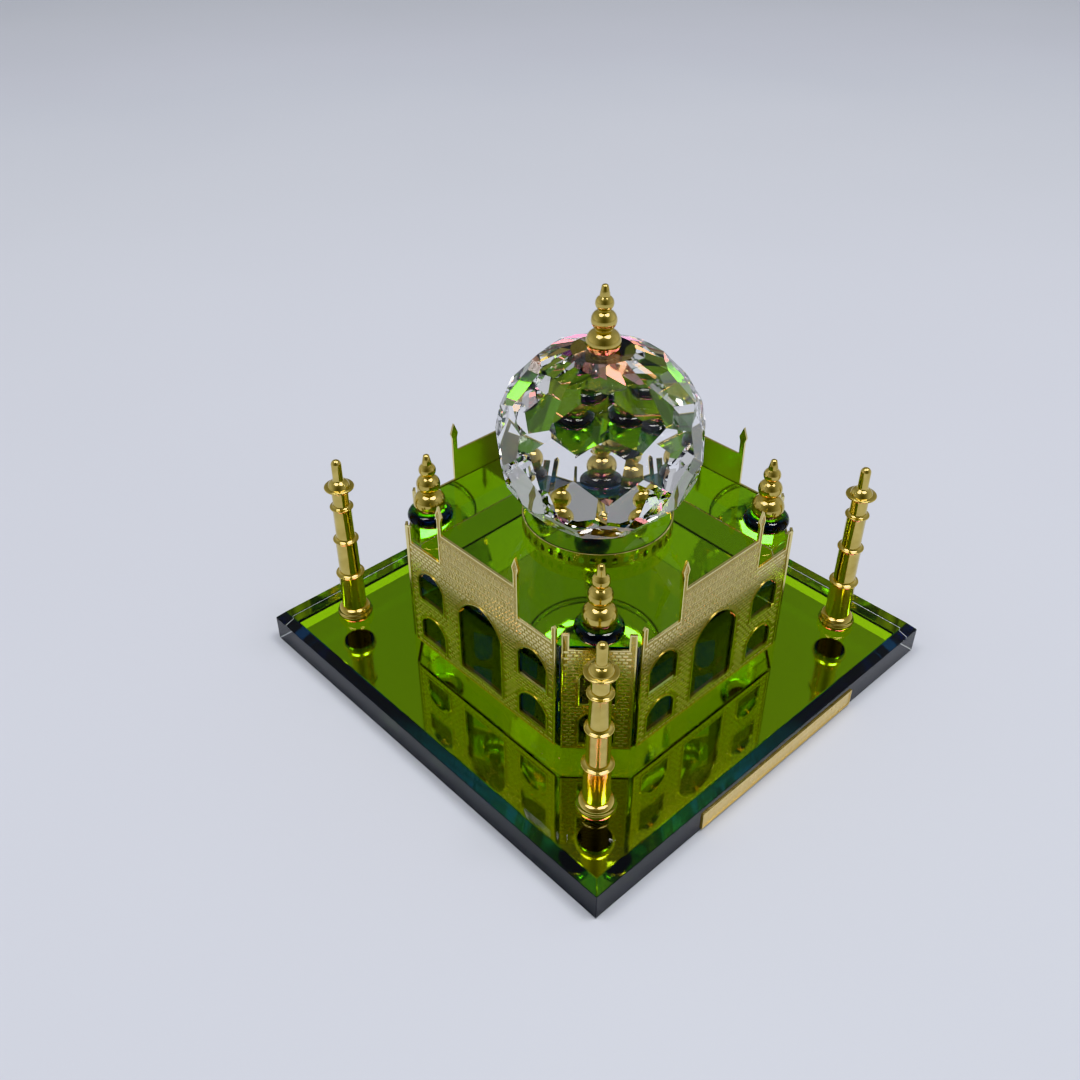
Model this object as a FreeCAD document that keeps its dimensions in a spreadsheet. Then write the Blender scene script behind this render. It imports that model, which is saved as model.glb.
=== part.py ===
import FreeCAD, Part
import math
import os

import Sketcher
from FreeCAD import Placement, Rotation, Vector

# A desk model of a domed tomb: a square glass plate with a mirror film under it carries an eight-sided
# glass block with etched sheet walls, four turned towers, four small domes and a faceted crystal ball
# for the great dome. The frame has +Z up, the origin at the middle of the resting face, -Y towards the
# name plate, in mm.

DRIVING_SIZES = {
    # base plate and the mirror film under it
    "plate_side": 100.0,
    "plate_thickness": 7.8,
    "plate_bevel": 1.8,
    "film_side": 99.6,
    "film_thickness": 0.2,
    # eight-sided block: half its width, half the length of a long face, height
    "block_half": 32.0,
    "block_face_half": 22.0,
    "block_height": 25.8,
    # etched sheet walls: the four facades
    "sheet_thickness": 0.4,
    "wing_half": 21.4,
    "wing_height": 26.0,
    "screen_half": 11.4,
    "screen_height": 33.1,
    "strip_width": 1.1,
    "wing_strip_height": 29.6,
    "spire_neck_height": 36.2,
    "spire_height": 39.7,
    "spire_head_width": 1.8,
    # facade openings: great arch, then the small arches beside it
    "portal_half": 6.2,
    "portal_sill": 2.2,
    "portal_spring": 16.4,
    "portal_crown": 21.5,
    "window_inner": 11.3,
    "window_outer": 18.9,
    "lower_sill": 1.9,
    "lower_spring": 6.2,
    "lower_crown": 8.8,
    "upper_sill": 12.4,
    "upper_spring": 17.8,
    "upper_crown": 20.6,
    # how far the sides of every pointed arch bulge, for each unit of its width
    "arch_bulge_share": 0.09,
    # corner panels on the four short faces
    "panel_half": 6.75,
    "panel_height": 25.5,
    "panel_strip_width": 1.4,
    "panel_strip_height": 29.1,
    "panel_window_half": 3.3,
    "panel_lower_sill": 1.2,
    "panel_lower_spring": 7.4,
    "panel_lower_crown": 10.0,
    "panel_upper_sill": 11.6,
    "panel_upper_spring": 18.6,
    "panel_upper_crown": 21.2,
    # towers
    "tower_offset": 37.2,
    "foot_radius": 4.0,
    "foot_height": 0.8,
    "foot_bead_height": 2.0,
    "foot_bead_radius": 3.8,
    "ring_height": 1.2,
    "stage_one_radius": 2.55,
    "ring_one_level": 11.1,
    "ring_one_radius": 3.05,
    "stage_two_radius": 2.25,
    "ring_two_level": 20.0,
    "ring_two_radius": 2.7,
    "stage_three_radius": 1.95,
    "ring_three_level": 28.2,
    "ring_three_radius": 2.45,
    "stage_four_radius": 1.7,
    "gallery_level": 32.7,
    "gallery_radius": 3.1,
    "gallery_flare_height": 0.72,
    "gallery_rim_height": 0.5,
    "gallery_cap_radius": 2.8,
    "gallery_cap_bulge": 0.264,
    "gallery_cap_height": 1.6,
    "rod_radius": 1.05,
    "rod_shoulder_radius": 0.735,
    "rod_shoulder_height": 0.84,
    "rod_tip_radius": 0.315,
    "rod_tip_height": 0.2625,
    "tower_height": 40.0,
    # drum under the great dome
    "drum_radius": 15.2,
    "drum_height": 3.2,
    "band_thickness": 0.3,
    "band_slot_width": 1.1,
    "band_slot_height": 1.7,
    "band_slot_count": 44,
    # faceted ball: half the blank that it is cut from, then distances from its centre to its facets
    "ball_blank_half": 25.35,
    "ball_facet_distance": 19.5,
    "ball_crown_distance": 19.62,
    "ball_table_distance": 18.75,
    "ball_seat_distance": 17.4,
    "ball_facets_around": 10,
    "ball_turn": 12.6,
    "belt_row_angle": 11.3,
    "middle_row_angle": 41.0,
    "crown_row_angle": 67.0,
    # small corner domes
    "dome_offset": 24.3,
    "dome_radius": 4.7,
    "dome_flat_radius": 3.3,
    "dome_height": 3.0,
    # turned finial, the same on the ball and on the small domes
    "finial_seat_radius": 2.7,
    "bulb_radius": 3.3,
    "bulb_height": 4.1,
    "neck_radius": 1.5,
    "bead_radius": 2.45,
    "bead_height": 3.8,
    "upper_neck_radius": 1.15,
    "top_bead_radius": 1.75,
    "top_bead_height": 2.7,
    "cone_radius": 1.05,
    "cone_height": 2.0,
    "cone_tip_radius": 0.55,
    "cone_end_radius": 0.33,
    "cone_end_height": 0.22,
    # name plate stuck on the side of the base
    "label_width": 47.5,
    "label_height": 4.1,
    "label_thickness": 0.3,
    "label_centre": 1.6,
    "label_level": 0.5,
}

doc = FreeCAD.newDocument("DomedTombModel")
sheet = doc.addObject("Spreadsheet::Sheet", "Sizes")
for row, (name, number) in enumerate(DRIVING_SIZES.items(), start=1):
    sheet.set(f"A{row}", name)
    sheet.set(f"B{row}", str(number))
    sheet.setAlias(f"B{row}", name)
doc.recompute()


class Size:
    """A size that knows both its number and the sheet formula that it comes from."""

    def __init__(self, value, formula):
        self.value = value
        self.formula = formula

    @staticmethod
    def of(other):
        return other if isinstance(other, Size) else Size(float(other), repr(float(other)))

    def combine(self, other, sign, value):
        return Size(value, f"({self.formula} {sign} {Size.of(other).formula})")

    def __add__(self, other):
        return self.combine(other, "+", self.value + Size.of(other).value)

    def __sub__(self, other):
        return self.combine(other, "-", self.value - Size.of(other).value)

    def __mul__(self, other):
        return self.combine(other, "*", self.value * Size.of(other).value)

    def __truediv__(self, other):
        return self.combine(other, "/", self.value / Size.of(other).value)

    def __neg__(self):
        return Size(-self.value, f"(0 - {self.formula})")

    def bind(self, target, property_path):
        """Ties a property of a document object to this size."""
        target.setExpression(property_path, self.formula)


def size(alias):
    return Size(float(sheet.get(alias)), f"Sizes.{alias}")


ZERO = Size.of(0)
plate_top = size("film_thickness") + size("plate_thickness")
block_top = plate_top + size("block_height")
drum_top = block_top + size("drum_height")

subparts = []


def finished(thing, label):
    """Names a sub-part and puts it on the list of files to write."""
    thing.Label = label
    subparts.append(thing)
    return thing


def raise_to(thing, level, x=ZERO, y=ZERO, turn=0.0):
    """Stands a sub-part at a level, turned about +Z, with its place tied to the sheet."""
    thing.Placement = Placement(Vector(x.value, y.value, level.value), Rotation(Vector(0, 0, 1), turn))
    x.bind(thing, "Placement.Base.x")
    y.bind(thing, "Placement.Base.y")
    level.bind(thing, "Placement.Base.z")


def new_body(name):
    return doc.addObject("PartDesign::Body", name)


def origin_plane(body, role):
    return next(plane for plane in body.Origin.OriginFeatures if plane.Role == role)


def new_sketch(body, name, role):
    sketch = body.newObject("Sketcher::SketchObject", name)
    sketch.AttachmentSupport = [(origin_plane(body, role), "")]
    sketch.MapMode = "FlatFace"
    return sketch


def pin_to_sheet(sketch, geometry, point, corner):
    """Holds one point of a sketch at a pair of sheet sizes, measured from the sketch's origin."""
    for kind, axis, coordinate in (("DistanceX", -2, corner[0]), ("DistanceY", -1, corner[1])):
        if coordinate.value == 0:
            sketch.addConstraint(Sketcher.Constraint("PointOnObject", geometry, point, axis))
            continue
        held = sketch.addConstraint(
            Sketcher.Constraint(kind, -1, 1, geometry, point, coordinate.value)
        )
        coordinate.bind(sketch, f"Constraints[{held}]")


def arc_through(start, end, rise):
    """The arc from start to end that stands out to the right of the way between them by rise."""
    chord = end - start
    middle = (start + end) / 2 + Vector(chord.y, -chord.x, 0).normalize() * rise
    return Part.Arc(start, middle, end)


def draw_loop(sketch, corners):
    """Draws a closed outline. A corner is (x, y), or (x, y, rise) where an arc leaves it."""
    points = [Vector(corner[0].value, corner[1].value, 0) for corner in corners]
    ends = []
    for index, corner in enumerate(corners):
        start, end = points[index], points[(index + 1) % len(points)]
        is_arc = len(corner) == 3
        edge = arc_through(start, end, corner[2].value) if is_arc else Part.LineSegment(start, end)
        geometry = sketch.addGeometry(edge, False)
        forwards = (sketch.Geometry[geometry].StartPoint - start).Length < 1e-6
        ends.append((geometry, (1, 2) if forwards else (2, 1), is_arc))
    for index, (geometry, points_at, is_arc) in enumerate(ends):
        following, following_points, _ = ends[(index + 1) % len(ends)]
        sketch.addConstraint(
            Sketcher.Constraint("Coincident", geometry, points_at[1], following, following_points[0])
        )
        pin_to_sheet(sketch, geometry, points_at[0], corners[index])
        if is_arc:
            here, there, rise = corners[index], corners[(index + 1) % len(corners)], corners[index][2]
            across, along = there[0] - here[0], there[1] - here[1]
            radius = ((across * across + along * along) / 4 + rise * rise) / (rise * 2)
            held = sketch.addConstraint(Sketcher.Constraint("Radius", geometry, radius.value))
            radius.bind(sketch, f"Constraints[{held}]")


def padded(body, sketch, length, name="Pad"):
    pad = body.newObject("PartDesign::Pad", name)
    pad.Profile = sketch
    length.bind(pad, "Length")
    doc.recompute()
    return pad


def turned(label, outline, x=ZERO, y=ZERO, level=ZERO):
    """A piece turned about +Z from (radius, height) corners that start and end on the axis."""
    body = new_body(label)
    sketch = new_sketch(body, "TurnedOutline", "XZ_Plane")
    draw_loop(sketch, outline)
    revolution = body.newObject("PartDesign::Revolution", "Turning")
    revolution.Profile = sketch
    revolution.ReferenceAxis = (sketch, ["V_Axis"])
    revolution.Angle = 360
    raise_to(body, level, x, y)
    return finished(body, label)


def square_corners(half):
    return [(-half, -half), (half, -half), (half, half), (-half, half)]


def pointed_arch(left, right, sill, spring, crown):
    """The outline of a pointed-arch opening, run anticlockwise from its lower left corner."""
    middle = (left + right) / 2
    bulge = (right - left) * size("arch_bulge_share")
    return [(left, sill), (right, sill), (right, spring, bulge), (middle, crown, bulge), (left, spring)]


# ---------------------------------------------------------------- base

def base_plate():
    """Thick square glass plate, its upper edges ground to a bevel."""
    body = new_body("base_plate")
    sketch = new_sketch(body, "PlateOutline", "XY_Plane")
    draw_loop(sketch, square_corners(size("plate_side") / 2))
    pad = padded(body, sketch, size("plate_thickness"))
    top_face = max(range(len(pad.Shape.Faces)), key=lambda n: pad.Shape.Faces[n].CenterOfMass.z)
    bevel = body.newObject("PartDesign::Chamfer", "Bevel")
    bevel.Base = (pad, [f"Face{top_face + 1}"])
    size("plate_bevel").bind(bevel, "Size")
    raise_to(body, size("film_thickness"))
    return finished(body, "base_plate")


def mirror_film():
    """Thin colour-mirror film stuck under the plate, which the model rests on."""
    body = new_body("mirror_film")
    sketch = new_sketch(body, "FilmOutline", "XY_Plane")
    draw_loop(sketch, square_corners(size("film_side") / 2))
    padded(body, sketch, size("film_thickness"))
    return finished(body, "mirror_film")


def name_plate():
    """Blank metal strip on the -Y side of the base."""
    strip = doc.addObject("Part::Box", "name_plate")
    size("label_width").bind(strip, "Length")
    size("label_thickness").bind(strip, "Width")
    size("label_height").bind(strip, "Height")
    raise_to(
        strip,
        size("label_level"),
        size("label_centre") - size("label_width") / 2,
        -(size("plate_side") / 2) - size("label_thickness"),
    )
    return finished(strip, "name_plate")


# ---------------------------------------------------------------- building

def body_block():
    """Solid glass block: a square with its four corners cut off."""
    body = new_body("body_block")
    sketch = new_sketch(body, "BlockOutline", "XY_Plane")
    half, face_half = size("block_half"), size("block_face_half")
    draw_loop(
        sketch,
        [
            (-face_half, -half), (face_half, -half), (half, -face_half), (half, face_half),
            (face_half, half), (-face_half, half), (-half, face_half), (-half, -face_half),
        ],
    )
    padded(body, sketch, size("block_height"))
    raise_to(body, plate_top)
    return finished(body, "body_block")


def mirrored_outline(right_side):
    """The right half of an outline, bottom to top, with its mirror image to close it."""
    left_side = [(-corner[0], corner[1]) for corner in reversed(right_side)]
    return right_side + left_side


def sheet_wall(label, outline, openings, distance, turn):
    """An upright etched sheet at a distance from the axis, facing -Y before it is turned about +Z."""
    body = new_body(label)
    sketch = new_sketch(body, "WallOutline", "XZ_Plane")
    distance.bind(sketch, "AttachmentOffset.Base.z")
    draw_loop(sketch, outline)
    for opening in openings:
        draw_loop(sketch, opening)
    padded(body, sketch, size("sheet_thickness"))
    raise_to(body, plate_top, turn=turn)
    return finished(body, label)


def facade(label, turn):
    """A long wall: two wings, a raised screen between them, edge strips that end in spires, five arches."""
    wing, wing_height = size("wing_half"), size("wing_height")
    screen, screen_height = size("screen_half"), size("screen_height")
    strip, head = size("strip_width"), size("spire_head_width")
    neck = size("spire_neck_height")
    stem_middle = screen - strip / 2
    head_level = neck + (size("spire_height") - neck) / 3
    right_side = [
        (wing, ZERO),
        (wing, size("wing_strip_height")),
        (wing - strip / 2, size("wing_strip_height") + strip / 2),
        (wing - strip, size("wing_strip_height")),
        (wing - strip, wing_height),
        (screen, wing_height),
        (screen, neck),
        (stem_middle + head / 2, head_level),
        (stem_middle, size("spire_height")),
        (stem_middle - head / 2, head_level),
        (screen - strip, neck),
        (screen - strip, screen_height),
    ]
    portal = size("portal_half")
    openings = [
        pointed_arch(-portal, portal, size("portal_sill"), size("portal_spring"), size("portal_crown"))
    ]
    for storey in ("lower", "upper"):
        levels = [size(f"{storey}_{level}") for level in ("sill", "spring", "crown")]
        inner, outer = size("window_inner"), size("window_outer")
        openings.append(pointed_arch(inner, outer, *levels))
        openings.append(pointed_arch(-outer, -inner, *levels))
    return sheet_wall(label, mirrored_outline(right_side), openings, size("block_half"), turn)


def corner_panel(label, turn):
    """A short wall across a cut corner, with an arch over an arch and a raised strip at each edge."""
    half, strip = size("panel_half"), size("panel_strip_width")
    right_side = [
        (half, ZERO),
        (half, size("panel_strip_height")),
        (half - strip, size("panel_strip_height")),
        (half - strip, size("panel_height")),
    ]
    window = size("panel_window_half")
    openings = []
    for storey in ("lower", "upper"):
        levels = [size(f"panel_{storey}_{level}") for level in ("sill", "spring", "crown")]
        openings.append(pointed_arch(-window, window, *levels))
    distance = (size("block_half") + size("block_face_half")) / math.sqrt(2)
    return sheet_wall(label, mirrored_outline(right_side), openings, distance, turn)


# ---------------------------------------------------------------- towers, domes and finials

def tower_outline():
    """Half section of a tower: foot, three ringed stages, gallery and top rod."""
    ring = size("ring_height")
    foot, bead = size("foot_height"), size("foot_bead_height")
    stages = [size(f"stage_{n}_radius") for n in ("one", "two", "three", "four")]
    outline = [
        (ZERO, ZERO),
        (size("foot_radius"), ZERO),
        (size("foot_radius"), foot),
        (stages[0], foot, size("foot_bead_radius") - stages[0]),
        (stages[0], foot + bead),
    ]
    for number, below, above in zip(("one", "two", "three"), stages, stages[1:]):
        level, radius = size(f"ring_{number}_level"), size(f"ring_{number}_radius")
        outline += [
            (below, level),
            (radius, level + ring / 4),
            (radius, level + ring - ring / 4),
            (above, level + ring),
        ]
    gallery, radius = size("gallery_level"), size("gallery_radius")
    rim_foot = gallery + size("gallery_flare_height")
    rim_top = rim_foot + size("gallery_rim_height")
    cap_top = rim_top + size("gallery_cap_height")
    rod, top = size("rod_radius"), size("tower_height")
    outline += [
        (stages[3], gallery),
        (radius, rim_foot),
        (radius, rim_top),
        (size("gallery_cap_radius"), rim_top, size("gallery_cap_bulge")),
        (rod, cap_top),
        (rod, top - size("rod_shoulder_height")),
        (size("rod_shoulder_radius"), top - size("rod_tip_height")),
        (size("rod_tip_radius"), top),
        (ZERO, top),
    ]
    return outline


def finial_outline():
    """Half section of a finial: bulb, bead, small bead and blunt cone."""
    bulb, bead = size("bulb_height"), size("bead_height")
    seat, neck, upper_neck = size("finial_seat_radius"), size("neck_radius"), size("upper_neck_radius")
    cone, top_bead = size("cone_radius"), size("top_bead_height")
    cone_foot = bulb + bead + top_bead
    cone_top = cone_foot + size("cone_height")
    end = cone_top + size("cone_end_height")
    return [
        (ZERO, ZERO),
        (seat, ZERO, size("bulb_radius") - (seat + neck) / 2),
        (neck, bulb, size("bead_radius") - (neck + upper_neck) / 2),
        (upper_neck, bulb + bead, size("top_bead_radius") - (upper_neck + cone) / 2),
        (cone, cone_foot),
        (size("cone_tip_radius"), cone_top),
        (size("cone_end_radius"), end),
        (ZERO, end),
    ]


def dome_outline():
    """Half section of a small dome: a flat glass bead with a full round edge."""
    flat, height = size("dome_flat_radius"), size("dome_height")
    return [(ZERO, ZERO), (flat, ZERO, size("dome_radius") - flat), (flat, height), (ZERO, height)]


# ---------------------------------------------------------------- drum and ball

def drum_disc():
    """Glass disc that the ball stands on."""
    disc = doc.addObject("Part::Cylinder", "drum_disc")
    size("drum_radius").bind(disc, "Radius")
    size("drum_height").bind(disc, "Height")
    raise_to(disc, block_top)
    return finished(disc, "drum_disc")


def drum_band():
    """Thin metal ring round the drum, pierced by a row of arched slots."""
    body = new_body("drum_band")
    sketch = new_sketch(body, "BandOutline", "XY_Plane")
    inner = size("drum_radius")
    for radius in (inner, inner + size("band_thickness")):
        circle = sketch.addGeometry(Part.Circle(Vector(0, 0, 0), Vector(0, 0, 1), radius.value), False)
        sketch.addConstraint(Sketcher.Constraint("Coincident", circle, 3, -1, 1))
        held = sketch.addConstraint(Sketcher.Constraint("Radius", circle, radius.value))
        radius.bind(sketch, f"Constraints[{held}]")
    pad = padded(body, sketch, size("drum_height"))
    half_width, half_height = size("band_slot_width") / 2, size("band_slot_height") / 2
    middle = size("drum_height") / 2
    levels = (middle - half_height, middle + half_height / 3, middle + half_height)
    slot = new_sketch(body, "SlotOutline", "XZ_Plane")
    draw_loop(slot, pointed_arch(-half_width, half_width, *levels))
    pocket = body.newObject("PartDesign::Pocket", "Slot")
    pocket.Profile = slot
    pocket.Type = "ThroughAll"
    pocket.Reversed = True
    doc.recompute()
    if pocket.Shape.Volume >= pad.Shape.Volume:
        raise RuntimeError("the slot of the drum band cuts nothing")
    pattern = body.newObject("PartDesign::PolarPattern", "SlotsAround")
    pattern.Originals = [pocket]
    pattern.Axis = (origin_plane(body, "Z_Axis"), [""])
    pattern.Angle = 360
    size("band_slot_count").bind(pattern, "Occurrences")
    pattern.Refine = False
    body.Tip = pattern
    raise_to(body, block_top)
    return finished(body, "drum_band")


def facet_rows():
    """Each row of facets: angle above the ball's belt, facets in the row, turn of the first, distance."""
    around = int(size("ball_facets_around").value)
    step = 360 / around
    turn = size("ball_turn").value
    distance, crown_distance = size("ball_facet_distance").value, size("ball_crown_distance").value
    belt, middle, crown = (size(f"{row}_row_angle").value for row in ("belt", "middle", "crown"))
    return [
        (90.0, 1, 0.0, size("ball_table_distance").value),
        (crown, 2 * around, turn + step / 4, crown_distance),
        (middle, around, turn + step / 2, distance),
        (belt, around, turn, distance),
        (-belt, around, turn + step / 2, distance),
        (-middle, around, turn, distance),
        (-crown, around, turn + step / 2, distance),
        (-90.0, 1, 0.0, size("ball_seat_distance").value),
    ]


def crystal_ball():
    """Solid ball cut all over into flat facets, with a flat table on top and a flat seat below."""
    reach = size("ball_blank_half").value
    cut_ball = Part.makeBox(2 * reach, 2 * reach, 2 * reach, Vector(-reach, -reach, -reach))
    for angle, count, first_turn, distance in facet_rows():
        for index in range(count):
            corner = Vector(-2 * reach, -2 * reach, distance)
            waste = Part.makeBox(4 * reach, 4 * reach, 2 * reach, corner)
            waste.rotate(Vector(0, 0, 0), Vector(0, 1, 0), 90 - angle)
            waste.rotate(Vector(0, 0, 0), Vector(0, 0, 1), first_turn + index * 360 / count)
            cut_ball = cut_ball.cut(waste)
    ball = doc.addObject("Part::Feature", "crystal_ball")
    ball.Shape = cut_ball.removeSplitter()
    raise_to(ball, drum_top + size("ball_seat_distance"))
    return finished(ball, "crystal_ball")


# ---------------------------------------------------------------- the whole model

base_plate()
mirror_film()
name_plate()
body_block()
for wall_turn, wall_side in enumerate(("front", "right", "back", "left")):
    facade(f"{wall_side}_facade", 90 * wall_turn)

CORNERS = {"front_right": (1, -1), "back_right": (1, 1), "back_left": (-1, 1), "front_left": (-1, -1)}
for corner_turn, (corner_name, (x_side, y_side)) in enumerate(CORNERS.items()):
    corner_panel(f"{corner_name}_panel", 45 + 90 * corner_turn)
    tower, dome = size("tower_offset"), size("dome_offset")
    turned(f"{corner_name}_tower", tower_outline(), tower * x_side, tower * y_side, plate_top)
    turned(f"{corner_name}_dome", dome_outline(), dome * x_side, dome * y_side, block_top)
    dome_top = block_top + size("dome_height")
    turned(f"{corner_name}_finial", finial_outline(), dome * x_side, dome * y_side, dome_top)

drum_disc()
drum_band()
crystal_ball()
table_level = drum_top + size("ball_seat_distance") + size("ball_table_distance")
turned("ball_finial", finial_outline(), level=table_level)

doc.recompute()
for thing in doc.Objects:
    if {"Invalid", "Error"} & set(thing.State):
        raise RuntimeError(f"{thing.Label} failed: {thing.State}")
for thing in subparts:
    if thing.Shape.isNull() or not thing.Shape.isValid() or not thing.Shape.Solids:
        raise RuntimeError(f"{thing.Label} has no sound solid")

os.makedirs("parts", exist_ok=True)
for thing in subparts:
    thing.Shape.exportStep(f"parts/{thing.Label}.step")
    box = thing.Shape.BoundBox
    spans = ((box.XMin, box.XMax), (box.YMin, box.YMax), (box.ZMin, box.ZMax))
    reach = "  ".join(f"{low:7.2f} {high:7.2f}" for low, high in spans)
    print(f"{thing.Label:20s} {len(thing.Shape.Solids)} solid  {thing.Shape.Volume:10.2f} mm3  {reach}")
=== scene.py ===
"""Visual model of a crystal palace miniature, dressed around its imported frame."""
import logging
import math
from dataclasses import dataclass
from enum import Enum
from typing import TypeAlias

import bmesh
import bpy
from mathutils import Euler, Matrix, Vector
from mathutils.bvhtree import BVHTree


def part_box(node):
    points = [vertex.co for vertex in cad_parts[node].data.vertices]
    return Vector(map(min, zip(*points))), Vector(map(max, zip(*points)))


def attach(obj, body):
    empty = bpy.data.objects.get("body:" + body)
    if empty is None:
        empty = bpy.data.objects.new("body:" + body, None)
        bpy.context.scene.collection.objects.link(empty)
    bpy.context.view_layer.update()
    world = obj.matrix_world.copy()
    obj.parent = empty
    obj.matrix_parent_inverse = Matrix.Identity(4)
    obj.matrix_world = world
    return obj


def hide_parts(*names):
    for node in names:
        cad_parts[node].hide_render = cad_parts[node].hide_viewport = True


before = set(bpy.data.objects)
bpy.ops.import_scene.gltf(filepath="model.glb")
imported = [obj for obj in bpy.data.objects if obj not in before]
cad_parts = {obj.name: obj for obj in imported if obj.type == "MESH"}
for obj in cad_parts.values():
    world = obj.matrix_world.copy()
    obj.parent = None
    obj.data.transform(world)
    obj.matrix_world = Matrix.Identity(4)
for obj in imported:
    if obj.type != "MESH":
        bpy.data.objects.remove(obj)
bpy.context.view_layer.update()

LOG = logging.getLogger("miniature")
MM = 0.001
SIDES = ("front", "right", "back", "left")
CORNERS = ("front_right", "back_right", "back_left", "front_left")
WELD = 0.001
SAME_PLANE = 0.01
JOINT_REACH = 0.02
QUARTER_TURN = math.pi / 2
Value: TypeAlias = "float | tuple[float, ...] | Signal"
Colour: TypeAlias = tuple[float, float, float, float]


class Signal:
    """One output of a shader node, usable in Python arithmetic."""

    def __init__(self, bench: "Bench", socket: bpy.types.NodeSocket) -> None:
        """Keep the bench that owns the socket."""
        self.bench, self.socket = bench, socket

    def maths(self, operation: str, *values: Value) -> "Signal":
        """Add one Math node that works on the given values."""
        return self.bench.node("Math", {"operation": operation}, dict(enumerate(values)))

    def __add__(self, other: Value) -> "Signal":
        """Return self + other."""
        return self.maths("ADD", self, other)

    def __radd__(self, other: Value) -> "Signal":
        """Return other + self."""
        return self.maths("ADD", other, self)

    def __sub__(self, other: Value) -> "Signal":
        """Return self - other."""
        return self.maths("SUBTRACT", self, other)

    def __rsub__(self, other: Value) -> "Signal":
        """Return other - self."""
        return self.maths("SUBTRACT", other, self)

    def __mul__(self, other: Value) -> "Signal":
        """Return self * other."""
        return self.maths("MULTIPLY", self, other)

    def __rmul__(self, other: Value) -> "Signal":
        """Return other * self."""
        return self.maths("MULTIPLY", other, self)

    def __pow__(self, other: Value) -> "Signal":
        """Return self ** other."""
        return self.maths("POWER", self, other)

    def __abs__(self) -> "Signal":
        """Return the magnitude of self."""
        return self.maths("ABSOLUTE", self)

    def __lt__(self, other: Value) -> "Signal":
        """Return 1 where self is below other, and 0 elsewhere."""
        return self.maths("LESS_THAN", self, other)


class Bench:
    """The node tree of a material or world, to which one method adds any node."""

    def __init__(self, owner: bpy.types.Material | bpy.types.World) -> None:
        """Start from an empty tree."""
        self.owner = owner
        owner.use_nodes = True
        self.tree = owner.node_tree
        self.tree.nodes.clear()

    def node(
        self,
        kind: str,
        settings: dict[str, object] | None = None,
        inputs: dict[int | str, Value] | None = None,
        output: int | str = 0,
    ) -> Signal:
        """Add a shader node.

        Args:
            kind: The node's type, without the ShaderNode prefix.
            settings: Node properties; "stops" fills a colour ramp with (position, colour).
            inputs: Values or signals for its sockets, by name or number.
            output: The output socket to hand back.

        Returns:
            The chosen output, or the node's first input when it has no output.
        """
        made = self.tree.nodes.new("ShaderNode" + kind)
        for key, value in (settings or {}).items():
            if key == "stops":
                self.fill_ramp(made.color_ramp, value)
            else:
                setattr(made, key, value)
        for key, value in (inputs or {}).items():
            if isinstance(value, Signal):
                self.tree.links.new(value.socket, made.inputs[key])
            else:
                made.inputs[key].default_value = value
        return Signal(self, made.outputs[output] if made.outputs else made.inputs[0])

    @staticmethod
    def fill_ramp(ramp: bpy.types.ColorRamp, stops: list[tuple[float, tuple]]) -> None:
        """Give a colour ramp its stops.

        Args:
            ramp: The ramp of a new Color Ramp node.
            stops: Positions from 0 to 1, rising, each with its colour.
        """
        while len(ramp.elements) < len(stops):
            ramp.elements.new(1.0)
        for element, (position, colour) in zip(ramp.elements, stops):
            element.position, element.color = position, colour

    def place(self) -> tuple[Signal, Signal, Signal]:
        """Return the x, y and z of the surface point, in millimetres."""
        point = self.node("TexCoord", output="Object")
        split = self.node("SeparateXYZ", inputs={0: point}).socket.node
        return tuple(Signal(self, socket) * (1 / MM) for socket in split.outputs)

    def noise(self, pitch: float, detail: float = 2.0) -> Signal:
        """Return cloudy noise whose blobs are about pitch millimetres wide."""
        point = self.node("TexCoord", output="Object")
        return self.node("TexNoise", {}, {"Vector": point, "Scale": 1 / (pitch * MM), "Detail": detail})

    def blend(self, share: Value, first: Value, second: Value) -> Signal:
        """Return a colour that goes from first to second as share goes from 0 to 1."""
        return self.node("Mix", {"data_type": "RGBA"}, {0: share, 6: first, 7: second}, 2)

    def bump(self, height: Signal, depth: float, strength: float = 1.0) -> Signal:
        """Return a normal bent by a height signal, of the given depth in millimetres."""
        return self.node("Bump", {}, {"Height": height, "Distance": depth * MM, "Strength": strength})

    def finish(self, surface: Signal, volume: Signal | None = None) -> bpy.types.Material:
        """Send the shaders to the output.

        Args:
            surface: The surface shader.
            volume: The volume shader, for tinted glass.

        Returns:
            The finished material.
        """
        inputs = {"Surface": surface} if volume is None else {"Surface": surface, "Volume": volume}
        self.node("OutputMaterial", {}, inputs)
        return self.owner


def rgb(red: float, green: float, blue: float) -> tuple[float, float, float, float]:
    """Return a colour with full cover."""
    return (red, green, blue, 1.0)


def facing(angle: float) -> float:
    """Return what Layer Weight gives for a ray that many degrees from square on."""
    return 1.0 - math.cos(math.radians(angle))


class Footprint(Enum):
    """The outline of a glued joint, seen from above."""

    WHOLE = "whole"
    CUT_SQUARE = "cut square"
    DISC = "disc"
    FOUR_DISCS = "four discs"


@dataclass(frozen=True)
class Joint:
    """A clear glued joint at one level, through which light passes unbent.

    Sizes are in millimetres. A cut square has half its side as reach, and half the length of
    its uncut sides as offset. Discs have their radius as reach, and four discs stand at offset
    along X and Y.
    """

    level: float
    footprint: Footprint = Footprint.WHOLE
    reach: float = 0.0
    offset: float = 0.0

    def mask(self, bench: Bench) -> Signal:
        """Mark the joint on the piece's surface.

        Args:
            bench: The material's bench.

        Returns:
            1 on the joint and 0 off it.
        """
        x, y, z = bench.place()
        band = abs(z - self.level) < JOINT_REACH
        match self.footprint:
            case Footprint.CUT_SQUARE:
                inside = (abs(x) < self.reach) * (abs(y) < self.reach)
                return band * inside * (abs(x) + abs(y) < self.reach + self.offset)
            case Footprint.DISC | Footprint.FOUR_DISCS:
                across, along = abs(x) - self.offset, abs(y) - self.offset
                return band * (across**2.0 + along**2.0 < self.reach**2)
        return band


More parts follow.
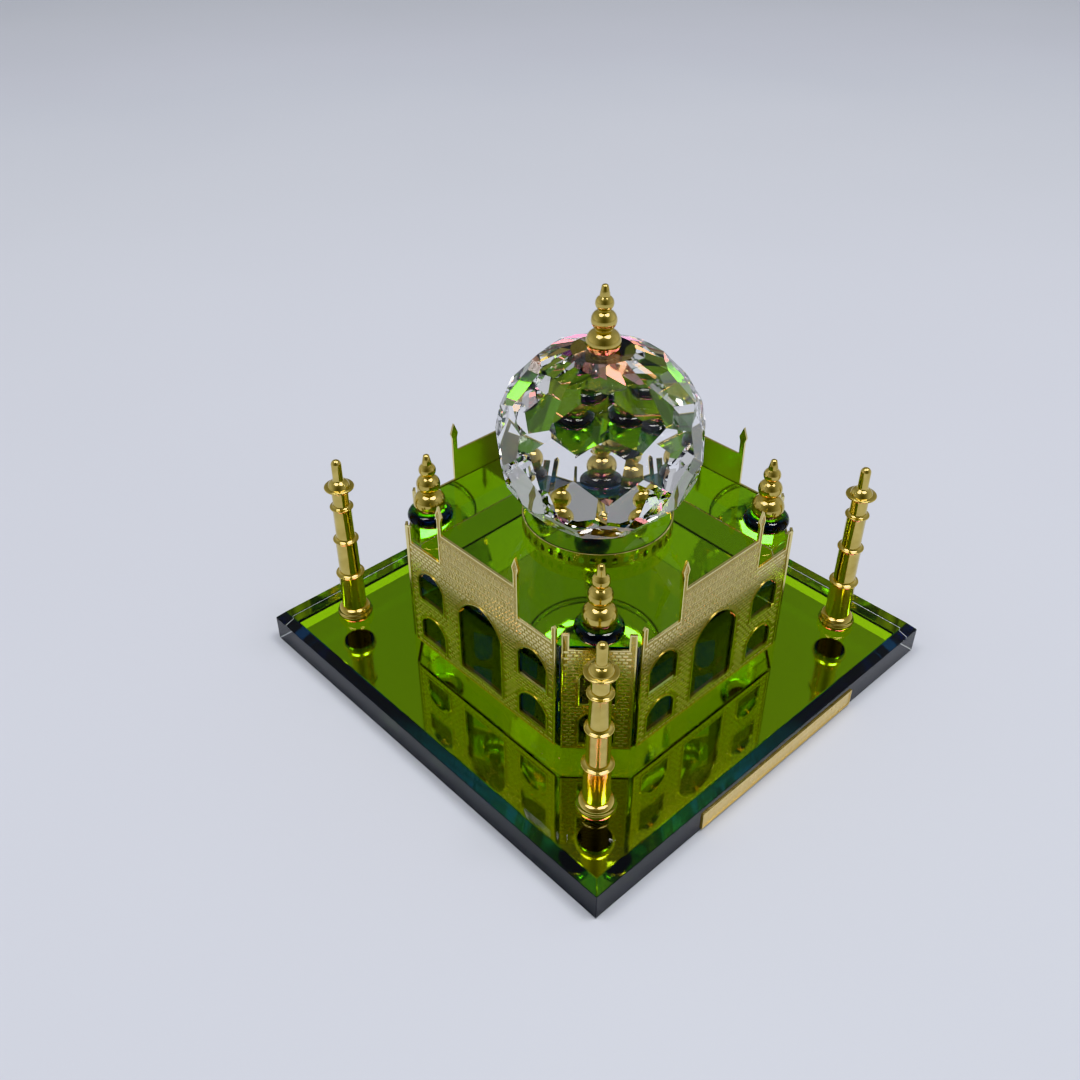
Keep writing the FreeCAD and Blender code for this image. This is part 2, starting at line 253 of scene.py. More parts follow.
@dataclass(frozen=True)
class ClearGlass:
    """Polished optical glass with clear glued joints."""

    name: str
    joints: tuple[Joint, ...] = ()
    ior: float = 1.52
    tint: Colour = rgb(0.86, 0.96, 0.9)
    depth_of_tint: float = 6.0

    def material(self) -> bpy.types.Material:
        """Make the material."""
        bench = Bench(bpy.data.materials.new(self.name))
        polish = bench.noise(9.0)
        glass = bench.node("BsdfPrincipled", {}, {
            "Base Color": bench.blend(polish, rgb(0.97, 0.99, 0.97), rgb(1.0, 1.0, 1.0)),
            "Roughness": polish * 0.004,
            "IOR": self.ior,
            "Transmission Weight": 1.0,
        })
        return bench.finish(joined(bench, glass, self.joints), bench.node(
            "VolumeAbsorption", {}, {"Color": self.tint, "Density": self.depth_of_tint}))


def joined(bench: Bench, glass: Signal, joints: tuple[Joint, ...]) -> Signal:
    """Make glass fully clear on its joints.

    Args:
        bench: The material's bench.
        glass: The glass shader.
        joints: Where the piece is glued to others.

    Returns:
        The mixed shader.
    """
    for joint in joints:
        clear = bench.node("BsdfTransparent", {}, {0: rgb(1.0, 1.0, 1.0)})
        glass = bench.node("MixShader", {}, {0: joint.mask(bench), 1: glass, 2: clear})
    return glass


@dataclass(frozen=True)
class CutCrystal:
    """Lead crystal with flat polished facets."""

    name: str
    joints: tuple[Joint, ...]
    ior: float = 1.56

    def material(self) -> bpy.types.Material:
        """Make the material."""
        bench = Bench(bpy.data.materials.new(self.name))
        polish = bench.noise(7.0)
        crystal = bench.node("BsdfPrincipled", {}, {
            "Base Color": bench.blend(polish, rgb(0.98, 0.98, 1.0), rgb(1.0, 1.0, 1.0)),
            "Roughness": polish * 0.003,
            "IOR": self.ior,
            "Transmission Weight": 1.0,
        })
        return bench.finish(joined(bench, crystal, self.joints))


@dataclass(frozen=True)
class MirrorFilm:
    """A coated mirror whose colour shifts with the angle of the light inside the glass.

    The shades are (degrees from square on, colour): pink, orange, green, blue, then dark. The
    drift moves the whole scale a little from corner to corner, and the cloud moves it in places.
    """

    name: str = "colour shift mirror film"
    shades: tuple[tuple[float, tuple[float, float, float]], ...] = (
        (4.0, (0.42, 0.12, 0.40)),
        (10.0, (0.60, 0.16, 0.30)),
        (15.0, (0.72, 0.24, 0.18)),
        (19.0, (0.62, 0.36, 0.06)),
        (21.5, (0.44, 0.47, 0.03)),
        (24.0, (0.36, 0.53, 0.01)),
        (27.0, (0.32, 0.56, 0.01)),
        (31.0, (0.29, 0.57, 0.005)),
        (35.0, (0.23, 0.55, 0.01)),
        (37.5, (0.08, 0.36, 0.06)),
        (39.5, (0.012, 0.14, 0.28)),
        (43.5, (0.008, 0.06, 0.16)),
        (48.0, (0.008, 0.04, 0.12)),
        (66.0, (0.015, 0.022, 0.04)),
    )
    drift: float = 0.0001
    cloud: float = 0.012

    def material(self) -> bpy.types.Material:
        """Make the material."""
        bench = Bench(bpy.data.materials.new(self.name))
        x, y, _ = bench.place()
        slant = bench.node("LayerWeight", {}, {"Blend": 0.5}, "Facing")
        shift = (y - x) * self.drift + (bench.noise(30.0) - 0.5) * self.cloud
        stops = [(facing(angle), rgb(*shade)) for angle, shade in self.shades]
        colour = bench.node("ValToRGB", {"stops": stops}, {0: slant + shift}, "Color")
        film = bench.node("BsdfPrincipled", {}, {
            "Base Color": colour,
            "Metallic": 1.0,
            "Roughness": 0.03 + bench.noise(3.0) * 0.02,
        })
        return bench.finish(film)


@dataclass(frozen=True)
class Gold:
    """Gold-plated brass, from mirror polish to a dull etched ground."""

    name: str
    colour: Colour
    dull: Colour
    roughness: float
    grain: float

    def material(self) -> bpy.types.Material:
        """Make the material."""
        bench = Bench(bpy.data.materials.new(self.name))
        cloud = bench.noise(2.2, 4.0)
        metal = bench.node("BsdfPrincipled", {}, {
            "Base Color": bench.blend(cloud, self.colour, self.dull),
            "Metallic": 1.0,
            "Roughness": self.roughness + (cloud - 0.5) * self.roughness * 0.5,
            "Normal": bench.bump(bench.noise(0.18, 3.0), self.grain),
        })
        return bench.finish(metal)


@dataclass(frozen=True)
class TableTop:
    """The smooth pale surface the model stands on."""

    name: str = "pale table top"

    def material(self) -> bpy.types.Material:
        """Make the material."""
        bench = Bench(bpy.data.materials.new(self.name))
        tone = bench.noise(160.0)
        return bench.finish(bench.node("BsdfPrincipled", {}, {
            "Base Color": bench.blend(tone, rgb(0.60, 0.625, 0.70), rgb(0.63, 0.655, 0.73)),
            "Roughness": 0.55 + tone * 0.1,
            "Specular IOR Level": 0.25,
        }))


def top_of(node: str) -> float:
    """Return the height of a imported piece's top, in millimetres."""
    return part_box(node)[1].z / MM


def reach_of(node: str) -> float:
    """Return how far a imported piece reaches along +X from the middle, in millimetres."""
    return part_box(node)[1].x / MM


def dress(node: str, *materials: bpy.types.Material) -> None:
    """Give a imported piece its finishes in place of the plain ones.

    Args:
        node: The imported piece.
        materials: Its finishes.
    """
    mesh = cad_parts[node].data
    mesh.materials.clear()
    for material in materials:
        mesh.materials.append(material)


def add_piece(
    name: str,
    shape: bmesh.types.BMesh,
    materials: tuple[bpy.types.Material, ...],
    replaced: tuple[str, ...] = (),
) -> bpy.types.Object:
    """Make a finished shape into a piece of the model.

    Args:
        name: The piece's name.
        shape: Its shape in metres, in the frame's own place. It is freed.
        materials: Its finishes, in the order of its faces' material numbers.
        replaced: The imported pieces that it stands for.

    Returns:
        The new object.
    """
    mesh = bpy.data.meshes.new(name)
    shape.to_mesh(mesh)
    shape.free()
    for material in materials:
        mesh.materials.append(material)
    piece = bpy.data.objects.new(name, mesh)
    bpy.context.scene.collection.objects.link(piece)
    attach(piece, "root")
    if replaced:
        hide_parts(*replaced)
    LOG.info("%s: %d faces", name, len(mesh.polygons))
    return piece


def soften(shape: bmesh.types.BMesh, edges: list, width: float, segments: int = 2) -> None:
    """Bevel edges.

    Args:
        shape: The shape that the edges belong to.
        edges: The edges.
        width: How wide the bevel is, in millimetres.
        segments: 1 for a flat bevel, or more for a rounder one.
    """
    bmesh.ops.bevel(shape, geom=edges, offset=width * MM, affect="EDGES", segments=segments,
                    profile=0.5, material=-1, offset_type="OFFSET", clamp_overlap=True)


def slab(low: Vector, high: Vector) -> bmesh.types.BMesh:
    """Make a box between two corners.

    Args:
        low: The lowest corner, in metres.
        high: The highest corner, in metres.

    Returns:
        The box.
    """
    shape = bmesh.new()
    size = high - low
    bmesh.ops.create_cube(shape, size=1.0, matrix=Matrix.Translation((low + high) / 2)
                          @ Matrix.Diagonal((*size, 1.0)))
    return shape


def merged_copy(node: str, flatten: bool = True) -> bmesh.types.BMesh:
    """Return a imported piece's shape with its loose triangles joined.

    Args:
        node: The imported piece.
        flatten: Whether triangles in one plane become one face.

    Returns:
        The joined shape, in metres.
    """
    shape = bmesh.new()
    shape.from_mesh(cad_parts[node].data)
    bmesh.ops.remove_doubles(shape, verts=shape.verts[:], dist=WELD * MM)
    if flatten:
        bmesh.ops.dissolve_limit(shape, angle_limit=math.radians(0.5), verts=shape.verts[:],
                                 edges=shape.edges[:])
    return shape


def raise_rims(shape: bmesh.types.BMesh, faces: list, width: float, lift: Vector) -> list:
    """Raise a rim round the edge of a flat region.

    Args:
        shape: The shape that the region belongs to.
        faces: The faces of the region.
        width: The rim's width in millimetres.
        lift: The way and distance that the rim rises, in metres.

    Returns:
        The faces that are left inside the rim.
    """
    rims = bmesh.ops.inset_region(shape, faces=faces, thickness=width * MM, depth=0.0,
                                  use_boundary=True, use_even_offset=True)["faces"]
    inner = [f for f in faces if f.is_valid and f not in rims]
    raised = bmesh.ops.extrude_face_region(shape, geom=rims)["geom"]
    bmesh.ops.translate(shape, vec=lift,
                        verts=[v for v in raised if isinstance(v, bmesh.types.BMVert)])
    bmesh.ops.delete(shape, geom=[f for f in rims if f.is_valid], context="FACES")
    return inner


def turned_mesh(shape: bmesh.types.BMesh, turn: Matrix) -> bpy.types.Mesh:
    """Turn a shape and make it a mesh to stamp with.

    Args:
        shape: The shape, which is freed.
        turn: How it turns about the origin.

    Returns:
        The mesh.
    """
    shape.transform(turn)
    mesh = bpy.data.meshes.new("stamp")
    shape.to_mesh(mesh)
    shape.free()
    return mesh


def stamp(shape: bmesh.types.BMesh, pattern: bpy.types.Mesh, places: list[Vector]) -> None:
    """Copy a small pattern into a shape.

    Args:
        shape: The shape that takes the copies.
        pattern: The pattern's mesh, which is removed.
        places: Where each copy goes, in metres.
    """
    last = Vector((0, 0, 0))
    for place in places:
        pattern.transform(Matrix.Translation(place - last))
        shape.from_mesh(pattern)
        last = place
    bpy.data.meshes.remove(pattern)


@dataclass
class BasePlinth:
    """The bevelled glass plate with a mirror film below it and a blank strip on its edge."""

    bevel: float = 1.8
    soft_edge: float = 0.12
    film_gap: float = 0.005
    body_reach: float = 31.7
    body_side_half: float = 21.8
    strip_relief: float = 0.10
    strip_rim: float = 0.35
    stud_foot: float = 0.62
    stud_head: float = 0.40
    stud_sunk: float = 0.01
    stud_pitch: float = 1.5
    stud_rows: tuple[float, ...] = (-0.85, 0.85)

    def build(self) -> None:
        """Make the glass and dress the film and the strip."""
        low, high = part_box("base_plate")
        low.z += self.film_gap * MM
        shape = slab(low, high)
        top = [e for e in shape.edges if all(v.co.z > high.z - MM for v in e.verts)]
        soften(shape, top, self.bevel, 1)
        soften(shape, shape.edges[:], self.soft_edge)
        joints = (
            Joint(top_of("mirror_film")),
            Joint(top_of("base_plate"), Footprint.CUT_SQUARE, self.body_reach, self.body_side_half),
        )
        add_piece("base_glass", shape, (ClearGlass("base glass", joints).material(),),
                  ("base_plate",))
        dress("mirror_film", MirrorFilm().material())
        self.build_strip()

    def build_strip(self) -> None:
        """Make the blank strip, with a raised rim and two rows of plain studs."""
        low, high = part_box("name_plate")
        relief = self.strip_relief * MM
        low.y += relief
        shape = slab(low, high)
        front = [f for f in shape.faces if f.normal.y < -0.9]
        raise_rims(shape, front, self.strip_rim, Vector((0, -relief, 0)))
        pitch = self.stud_pitch * MM
        count = int((high.x - low.x) / pitch) - 1
        middle = (low + high) / 2
        stamp(shape, self.stud_mesh(), [
            Vector((middle.x + (step - (count - 1) / 2) * pitch,
                    low.y - relief / 2 + self.stud_sunk * MM, middle.z + row * MM))
            for row in self.stud_rows for step in range(count)])
        add_piece("edge_strip", shape, (STRIP_GOLD.material(),), ("name_plate",))

    def stud_mesh(self) -> bpy.types.Mesh:
        """Return one four-sided stud that points out of the strip."""
        stud = bmesh.new()
        bmesh.ops.create_cone(stud, cap_ends=True, segments=4, radius1=self.stud_foot * MM,
                              radius2=self.stud_head * MM, depth=self.strip_relief * MM)
        return turned_mesh(stud, Matrix.Rotation(QUARTER_TURN, 4, "X"))


@dataclass
class GlassBody:
    """The solid glass block of the building, with the glass disc that carries the ball."""

    side_gap: float = 0.05
    soft_edge: float = 0.15
    drum_joint_gap: float = 0.3
    dome_foot: float = 3.25
    dome_offset: float = 24.3
    disc_parts: int = 96

    def build(self) -> None:
        """Make both glass pieces."""
        self.build_block()
        self.build_disc()

    def build_block(self) -> None:
        """Make the block, a hair smaller than the sheets round it."""
        shape = merged_copy("body_block")
        shrink = 1.0 - self.side_gap / reach_of("body_block")
        bmesh.ops.scale(shape, vec=(shrink, shrink, 1.0), verts=shape.verts[:])
        soften(shape, shape.edges[:], self.soft_edge)
        roof = top_of("body_block")
        joints = (
            Joint(top_of("base_plate")),
            Joint(roof, Footprint.DISC, reach_of("drum_disc") - self.drum_joint_gap),
            Joint(roof, Footprint.FOUR_DISCS, self.dome_foot, self.dome_offset),
        )
        add_piece("body_glass", shape, (ClearGlass("body glass", joints).material(),),
                  ("body_block",))

    def build_disc(self) -> None:
        """Make the disc with its rims softened."""
        low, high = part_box("drum_disc")
        radius = high.x - self.side_gap * MM
        disc = bmesh.new()
        bmesh.ops.create_cone(disc, cap_ends=True, segments=self.disc_parts, radius1=radius,
                              radius2=radius, depth=high.z - low.z,
                              matrix=Matrix.Translation((0, 0, (low.z + high.z) / 2)))
        rims = [e for e in disc.edges if e.calc_face_angle(0) > 1.0]
        soften(disc, rims, self.soft_edge)
        for face in disc.faces:
            face.smooth = abs(face.normal.z) < 0.9
        joints = (
            Joint(top_of("body_block")),
            Joint(top_of("drum_disc"), Footprint.DISC, ball_seat_radius()),
        )
        add_piece("drum_glass", disc, (ClearGlass("drum glass", joints).material(),),
                  ("drum_disc",))


def ball_seat_radius(sides: int = 10, share: float = 0.99) -> float:
    """Return the radius in millimetres of a circle just inside the ball's flat seat.

    Args:
        sides: How many sides the seat has.
        share: How much of the largest circle that fits to take.

    Returns:
        The radius.
    """
    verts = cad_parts["crystal_ball"].data.vertices
    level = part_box("crystal_ball")[0].z + SAME_PLANE * MM
    reach = max(math.hypot(v.co.x, v.co.y) for v in verts if v.co.z < level)
    return reach / MM * math.cos(math.pi / sides) * share


@dataclass(frozen=True)
class Turning:
    """A piece turned about an upright axis, with its sizes in millimetres.

    A step of its outline is (radius, height), or (radius, height, rise) where the way to it is
    an arc that stands out by rise, or stands in where rise is below 0. The outline starts at the
    axis below and ends at the axis above.
    """

    steps: tuple[tuple[float, ...], ...]
    arc_parts: int = 7
    turns: int = 64
    crease: float = 38.0

    def shape(self, foot: Vector) -> bmesh.types.BMesh:
        """Spin the outline round.

        Args:
            foot: Where the foot of the axis stands, in metres.

        Returns:
            The turned shape, in metres.
        """
        shape = bmesh.new()
        last = shape.verts.new((self.steps[0][0] * MM, 0, self.steps[0][1] * MM))
        for start, step in zip(self.steps, self.steps[1:]):
            for radius, height in self.way(start, step):
                vert = shape.verts.new((radius * MM, 0, height * MM))
                shape.edges.new((last, vert))
                last = vert
        bmesh.ops.spin(shape, geom=shape.verts[:] + shape.edges[:], cent=(0, 0, 0), axis=(0, 0, 1),
                       angle=math.tau, steps=self.turns, use_merge=True, use_duplicate=False)
        bmesh.ops.remove_doubles(shape, verts=shape.verts[:], dist=WELD * MM)
        bmesh.ops.recalc_face_normals(shape, faces=shape.faces[:])
        for face in shape.faces:
            face.smooth = True
        for edge in shape.edges:
            edge.smooth = edge.calc_face_angle(0.0) < math.radians(self.crease)
        bmesh.ops.translate(shape, vec=foot, verts=shape.verts[:])
        return shape

    def way(self, start: tuple[float, ...], step: tuple[float, ...]) -> list[tuple[float, float]]:
        """Lead from one step of the outline to the next.

        Args:
            start: The step that the way leaves.
            step: The step that it reaches.

        Returns:
            The (radius, height) points after the start.
        """
        if len(step) == 2:
            return [step]
        first, second = Vector(start[:2]), Vector(step[:2])
        half = (second - first).length / 2
        along = (second - first).normalized()
        across = Vector((along.y, -along.x))
        half_angle = 2 * math.atan(step[2] / half)
        radius = half / math.sin(half_angle)
        points = []
        for part in range(1, self.arc_parts + 1):
            angle = half_angle * (2 * part / self.arc_parts - 1)
            points.append((first + second) / 2 + along * radius * math.sin(angle)
                          + across * radius * (math.cos(angle) - math.cos(half_angle)))
        return [tuple(point) for point in points]


def collar(
    level: float,
    below: float,
    lip: float,
    above: float,
    rises: tuple[float, float, float] = (0.40, 0.75, 1.15),
    cove: float = 0.08,
    bead: float = 0.1,
) -> tuple[tuple[float, ...], ...]:
    """Return the outline of a thin rounded ring, run up a shaft that is thinner above it.

    Args:
        level: The height of its foot.
        below: The radius of the shaft below it.
        lip: The radius of its lip.
        above: The radius of the shaft above it.
        rises: How far above its foot the lip starts, the lip ends and the ring ends.
        cove: How deep the hollows above and below the lip are.
        bead: How far the lip is rounded.

    Returns:
        Four steps of an outline.
    """
    lip_foot, lip_top, top = (level + rise for rise in rises)
    edge = lip - bead
    return (below, level), (edge, lip_foot, -cove), (edge, lip_top, bead), (above, top, -cove)


TOWER = Turning((
    (0.0, 0.0), (3.3, 0.0), (3.5, 1.7, 0.42), (2.6, 2.8, 0.25),
    *collar(11.1, 2.55, 3.05, 2.25),
    *collar(20.0, 2.25, 2.7, 1.95),
    *collar(28.2, 1.95, 2.45, 1.7),
    (1.7, 32.6), (2.95, 33.4, -0.12), (2.95, 33.8, 0.12), (2.3, 33.85), (1.15, 35.2, 0.22),
    (1.05, 35.6, -0.03), (1.05, 39.0), (0.0, 40.0, 0.28),
))
FINIAL = Turning((
    (0.0, 0.0), (2.7, 0.0), (1.6, 3.95, 1.15), (1.6, 4.25, -0.1), (1.25, 7.75, 1.02),
    (1.25, 8.05, -0.1), (1.05, 10.5, 0.60), (0.98, 10.8, -0.05), (0.6, 12.55), (0.0, 12.81, 0.07),
))


@dataclass
class Crown:
    """The faceted crystal ball and four bead domes, with their gold finials, and the towers."""

    bead_tint: Colour = rgb(0.08, 0.32, 0.60)
    bead_depth: float = 480.0

    def build(self) -> None:
        """Dress the glass and make the turned pieces."""
        seat, roof = Joint(top_of("drum_disc")), Joint(top_of("body_block"))
        dress("crystal_ball", CutCrystal("cut crystal", (seat,)).material())
        dress("drum_band", SHEET_GOLD.material())
        bead = ClearGlass("dark bead glass", (roof,), tint=self.bead_tint,
                          depth_of_tint=self.bead_depth).material()
        gold = POLISHED_GOLD.material()
        self.turn("ball_finial", FINIAL, gold)
        for corner in CORNERS:
            dress(f"{corner}_dome", bead)
            self.turn(f"{corner}_finial", FINIAL, gold)
            self.turn(f"{corner}_tower", TOWER, gold)

    @staticmethod
    def turn(node: str, turning: Turning, gold: bpy.types.Material) -> None:
        """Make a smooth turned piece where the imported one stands.

        Args:
            node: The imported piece.
            turning: Its outline.
            gold: Its finish.
        """
        low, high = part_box(node)
        foot = Vector(((low.x + high.x) / 2, (low.y + high.y) / 2, low.z))
        add_piece(f"{node}_turned", turning.shape(foot), (gold,), (node,))


NO_SCREEN = 99.0  # a level above every sheet


@dataclass
class WallSheet:
    """One etched wall sheet: a raised rim round its outline and openings, and relief between."""

    node: str
    outward: Vector
    rim: float = 0.28
    rim_height: float = 0.10
    brick: tuple[float, float] = (1.25, 0.78)
    brick_head: tuple[float, float] = (0.88, 0.78)
    brick_height: float = 0.07
    gap: float = 0.20
    sunk: float = 0.03
    screen_foot: float = 30.5
    screen_half: float = 11.4
    ring_pitch: float = 0.95
    ring_start: float = 0.6
    ring_radii: tuple[float, float] = (0.66, 0.34)
    ring_cover: float = 1.7
    ring_width: float = 0.16
    ring_flatness: float = 0.4
    ring_steps: int = 14
    lift: float = 0.012

    def build(self, ground: bpy.types.Material, polished: bpy.types.Material) -> None:
        """Make the sheet and its relief.

        Args:
            ground: The finish of the etched ground.
            polished: The finish of the rims and the relief.
        """
        shape = merged_copy(self.node, flatten=False)
        front = max(v.co.dot(self.outward) for v in shape.verts)
        level = front - SAME_PLANE * MM
        faces = [f for f in shape.faces if all(v.co.dot(self.outward) > level for v in f.verts)]
        inner = raise_rims(shape, faces, self.rim, self.outward * self.rim_height * MM)
        for face in shape.faces:
            face.material_index = 1
        for face in inner:
            face.material_index = 0
        relief = self.cover(inner, front)
        add_piece(f"{self.node}_sheet", shape, (ground, polished), (self.node,))
        add_piece(f"{self.node}_relief", relief, (polished,))

    def cover(self, faces: list, front: float) -> bmesh.types.BMesh:
        """Return the relief that fills the etched ground.

        Args:
            faces: The faces of the etched ground.
            front: How far out the ground stands, in metres.

        Returns:
            Small raised bricks, with interlaced rings above the screen line.
        """
        corners = [v.co.copy() for face in faces for v in face.verts]
        tree = self.ground_tree(faces)
        along = Vector((0, 0, 1)).cross(self.outward)
        turn = Matrix((along, self.outward, Vector((0, 0, 1)))).transposed().to_4x4()

        def spot(u: float, z: float) -> Vector:
            """Return the point of the ground at a place along and up the wall."""
            return along * u + Vector((0, 0, z)) + self.outward * front

        def on_ground(u: float, z: float, wide: float, tall: float) -> bool:
            """Say whether a patch lies wholly on the ground."""
            points = (spot(u + a * wide / 2, z + b * tall / 2) for a in (-1, 1) for b in (-1, 1))
            return all(tree.ray_cast(point + self.outward * MM, -self.outward, 2 * MM)[0]
                       for point in points)

        foot, top = min(c.z for c in corners), max(c.z for c in corners)
        start, end = min(c.dot(along) for c in corners), max(c.dot(along) for c in corners)
        relief = bmesh.new()
        stamp(relief, self.brick_mesh(turn), [
            spot(u, z) for u, z in self.brick_places(start, end, foot, top)
            if on_ground(u, z, *((side - self.gap) * MM for side in self.brick))])
        for layer, radius in enumerate(self.ring_radii):
            span = radius * self.ring_cover * MM
            stamp(relief, self.ring_mesh(turn, radius), [
                spot(u, z) + self.outward * rise for u, z, rise in self.ring_places(layer, top)
                if on_ground(u, z, span, span)])
        return relief

    @staticmethod
    def ground_tree(faces: list) -> BVHTree:
        """Split some faces into triangles to aim rays at.

        Args:
            faces: The faces of the etched ground.

        Returns:
            Their search tree.
        """
        ground = bmesh.new()
        for face in faces:
            ground.faces.new([ground.verts.new(v.co) for v in face.verts])
        bmesh.ops.triangulate(ground, faces=ground.faces[:])
        tree = BVHTree.FromBMesh(ground)
        ground.free()
        return tree

    def brick_places(self, start: float, end: float, foot: float, top: float) -> list:
        """Set out bricks in rows, each row half a brick out of step with the last.

        Args:
            start: Where the ground starts along the wall, in metres.
            end: Where it ends along the wall.
            foot: Where it starts up the wall.
            top: Where it ends up the wall.

        Returns:
            The places along and up the wall, without the screen's.
        """
        wide, tall = (side * MM for side in self.brick)
        return [
            (u, z)
            for row in range(int((top - foot) / tall) + 1)
            for step in range(int((end - start) / wide) + 2)
            for u, z in [(start + (step + row % 2 / 2) * wide, foot + (row + 0.5) * tall)]
            if z <= self.screen_foot * MM or abs(u) >= self.screen_half * MM
        ]

    def ring_places(self, layer: int, top: float) -> list:
        """Set out one of two interlaced layers of rings.

        Args:
            layer: 0 for the wide rings and 1 for the small ones.
            top: The top of the ground, in metres.

        Returns:
            The places along and up the wall, each with its rise off the ground.
        """
        pitch, foot = self.ring_pitch * MM, self.screen_foot * MM
        reach = int(self.screen_half * MM / pitch)
        return [
            ((step + layer / 2) * pitch, foot + (row + self.ring_start) * pitch,
             (step % 2 + 2 * layer) * self.lift * MM)
            for row in range(layer, int((top - foot) / pitch) + 1, 2)
            for step in range(-reach, reach + 1)
        ]

    def brick_mesh(self, turn: Matrix) -> bpy.types.Mesh:
        """Make one small brick with sloping sides.

        Args:
            turn: How it turns to face out of the wall.

        Returns:
            The brick's mesh.
        """
        shape = bmesh.new()
        wide, tall = (side - self.gap for side in self.brick)
        size = (wide, self.brick_height + self.sunk, tall)
        bmesh.ops.create_cube(shape, size=MM, matrix=Matrix.Diagonal((*size, 1.0)))
        bmesh.ops.translate(shape, vec=(0, (self.brick_height - self.sunk) / 2 * MM, 0),
                            verts=shape.verts[:])
        head = [v for v in shape.verts if v.co.y > 0]
        bmesh.ops.scale(shape, vec=(self.brick_head[0], 1.0, self.brick_head[1]), verts=head)
        return turned_mesh(shape, turn)

    def ring_mesh(self, turn: Matrix, radius: float) -> bpy.types.Mesh:
        """Make one slender ring with a ridged face, for an interlaced lattice.

        Args:
            turn: How it turns to face out of the wall.
            radius: The ring's radius in millimetres.

        Returns:
            The ring's mesh.
        """
        shape = bmesh.new()
        bmesh.ops.create_circle(shape, segments=4, radius=self.ring_width * MM / 2,
                                matrix=Matrix.Translation((radius * MM, 0, 0)))
        for vert in shape.verts:
            vert.co = (vert.co.x, vert.co.y * self.ring_flatness, 0.0)
        bmesh.ops.spin(shape, geom=shape.verts[:] + shape.edges[:], cent=(0, 0, 0), axis=(0, 1, 0),
                       angle=math.tau, steps=self.ring_steps, use_merge=True, use_duplicate=False)
        bmesh.ops.recalc_face_normals(shape, faces=shape.faces[:])
        return turned_mesh(shape, turn)


@dataclass
class Walls:
    """The four wall sheets and the four corner sheets."""

    def build(self) -> None:
        """Make every sheet with its relief."""
        ground, polished = ETCHED_GROUND.material(), SHEET_GOLD.material()
        for turn, side in enumerate(SIDES):
            outward = Vector((0, -1, 0))
            outward.rotate(Euler((0, 0, turn * QUARTER_TURN)))
            WallSheet(f"{side}_facade", outward).build(ground, polished)
        for turn, corner in enumerate(CORNERS):
            outward = Vector((1, -1, 0)).normalized()
            outward.rotate(Euler((0, 0, turn * QUARTER_TURN)))
            WallSheet(f"{corner}_panel", outward, screen_foot=NO_SCREEN).build(ground, polished)


@dataclass(frozen=True)
class Softbox:
    """A square soft light aimed at the model, with its place and side in metres."""

    name: str
    place: tuple[float, float, float]
    side: float
    power: float
    colour: tuple[float, float, float] = (1.0, 0.985, 0.96)
    aim: tuple[float, float, float] = (0.0, 0.0, 0.03)

    def build(self) -> None:
        """Make the light."""
        lamp = bpy.data.lights.new(self.name, "AREA")
        lamp.shape, lamp.size, lamp.energy = "SQUARE", self.side, self.power
        lamp.color = self.colour
        box = bpy.data.objects.new(self.name, lamp)
        box.location = self.place
        way = Vector(self.aim) - Vector(self.place)
        box.rotation_euler = way.to_track_quat("-Z", "Y").to_euler()
        bpy.context.scene.collection.objects.link(box)


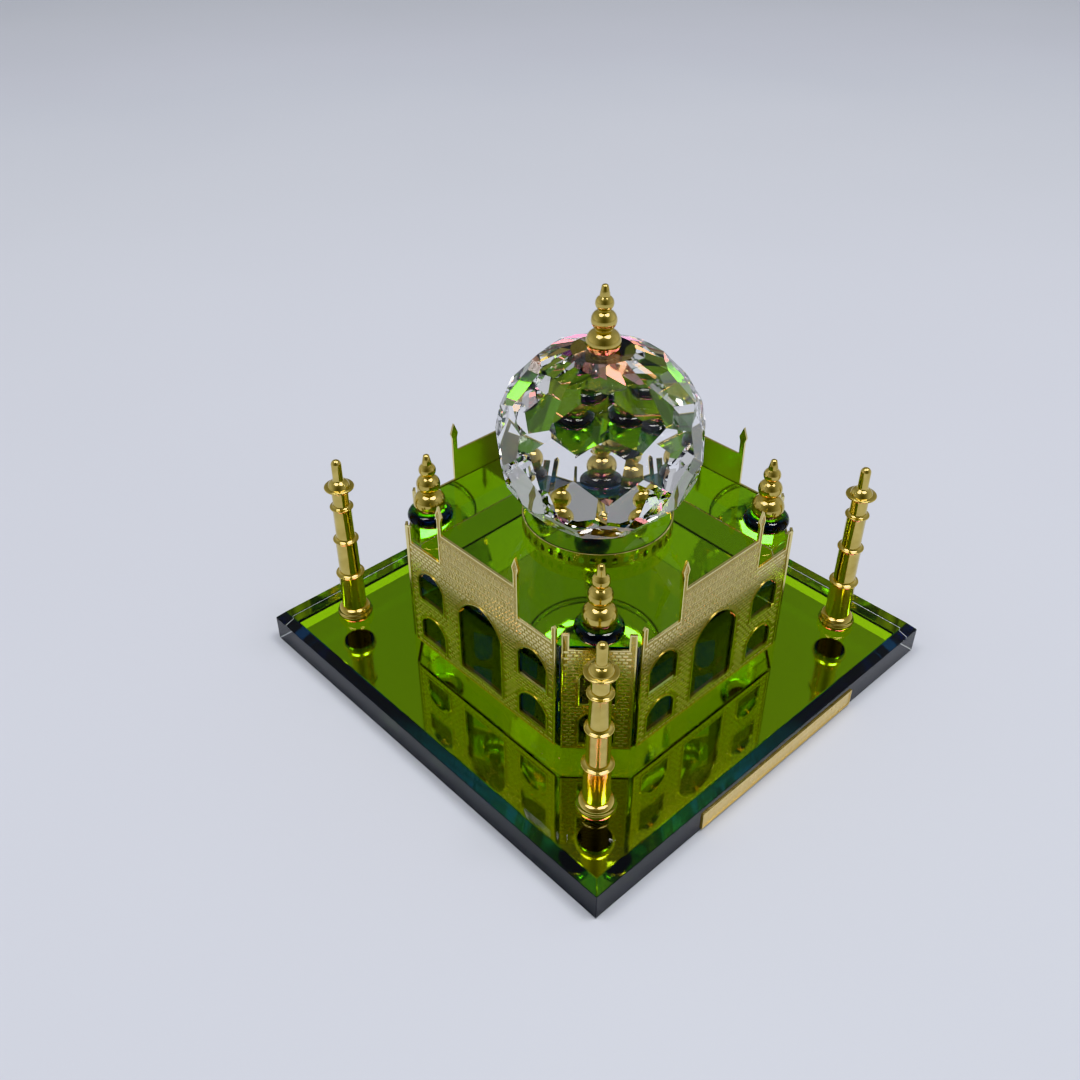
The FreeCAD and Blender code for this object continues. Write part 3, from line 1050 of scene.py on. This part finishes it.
@dataclass
class Studio:
    """The table, soft lights and camera."""

    eye: tuple[float, float, float] = (-134.405, -126.931, 167.081)
    tilt: tuple[float, float, float] = (53.2266, 0.2086, -43.1286)
    lens: float = 36.846
    sensor: float = 36.0
    table_side: float = 6.0
    softboxes: tuple[Softbox, ...] = (
        Softbox("left softbox", (-0.40, 0.20, 1.25), 0.50, 6.0),
        Softbox("right softbox", (0.24, -0.36, 1.25), 0.50, 8.4),
        Softbox("far softbox", (0.303, 0.325, 1.22), 0.50, 0.45),
    )
    room_tone: Colour = rgb(0.93, 0.95, 1.0)
    base_light: float = 0.12
    side_light: float = 0.58
    far_light: float = 0.20
    top_light: float = 0.28

    def build(self) -> None:
        """Make everything that is not part of the model."""
        shape = bmesh.new()
        bmesh.ops.create_grid(shape, x_segments=8, y_segments=8, size=self.table_side / 2)
        mesh = bpy.data.meshes.new("table_top")
        shape.to_mesh(mesh)
        shape.free()
        mesh.materials.append(TableTop().material())
        table = bpy.data.objects.new("table_top", mesh)
        bpy.context.scene.collection.objects.link(table)
        self.light_world()
        for softbox in self.softboxes:
            softbox.build()
        self.add_camera()

    def light_world(self) -> None:
        """Give the room pale side walls, a greyer far wall and ceiling, and a dim near wall."""
        world = bpy.data.worlds.new("studio room")
        bench = Bench(world)
        way = bench.node("TexCoord", output="Generated")

        def towards(*direction: float) -> Signal:
            """Return how nearly a ray points in a direction, from -1 to 1."""
            return bench.node("VectorMath", {"operation": "DOT_PRODUCT"}, {0: way, 1: direction},
                              "Value")

        sideways = towards(0.730, -0.684, 0.0)
        away = towards(0.684, 0.730, 0.0)
        upwards = towards(0.0, 0.0, 1.0)
        strength = (self.base_light + sideways**2.0 * self.side_light
                    + away.maths("MAXIMUM", away, 0.0) * self.far_light
                    + upwards.maths("MAXIMUM", upwards, 0.0) ** 6.0 * self.top_light)
        bench.node("OutputWorld", {}, {"Surface": bench.node(
            "Background", {}, {"Color": self.room_tone, "Strength": strength})})
        bpy.context.scene.world = world

    def add_camera(self) -> None:
        """Add the camera."""
        lens = bpy.data.cameras.new("camera")
        lens.lens, lens.sensor_width = self.lens, self.sensor
        lens.clip_start, lens.clip_end = 0.01, 20.0
        camera = bpy.data.objects.new("camera", lens)
        camera.location = Vector(self.eye) * MM
        camera.rotation_euler = Euler([math.radians(angle) for angle in self.tilt])
        bpy.context.scene.collection.objects.link(camera)
        scene = bpy.context.scene
        scene.camera = camera
        scene.view_settings.view_transform = "Khronos PBR Neutral"
        scene.cycles.max_bounces = 32
        scene.cycles.glossy_bounces = 16
        scene.cycles.transmission_bounces = 28
        scene.cycles.transparent_max_bounces = 48


POLISHED_GOLD = Gold("polished gold", rgb(0.82, 0.66, 0.24), rgb(0.44, 0.35, 0.10), 0.14, 0.003)
SHEET_GOLD = Gold("sheet gold", rgb(0.85, 0.75, 0.39), rgb(0.79, 0.68, 0.31), 0.13, 0.002)
ETCHED_GROUND = Gold("etched ground", rgb(0.58, 0.47, 0.18), rgb(0.46, 0.36, 0.12), 0.27, 0.006)
STRIP_GOLD = Gold("strip gold", rgb(0.90, 0.72, 0.34), rgb(0.80, 0.62, 0.26), 0.30, 0.008)


def main() -> None:
    """Build the model and set the studio round it."""
    logging.basicConfig(level=logging.INFO, format="%(name)s: %(message)s")
    Studio().build()
    for assembly in (BasePlinth(), GlassBody(), Walls(), Crown()):
        assembly.build()
        LOG.info("%s is done", type(assembly).__name__)


if __name__ == "__main__":
    main()
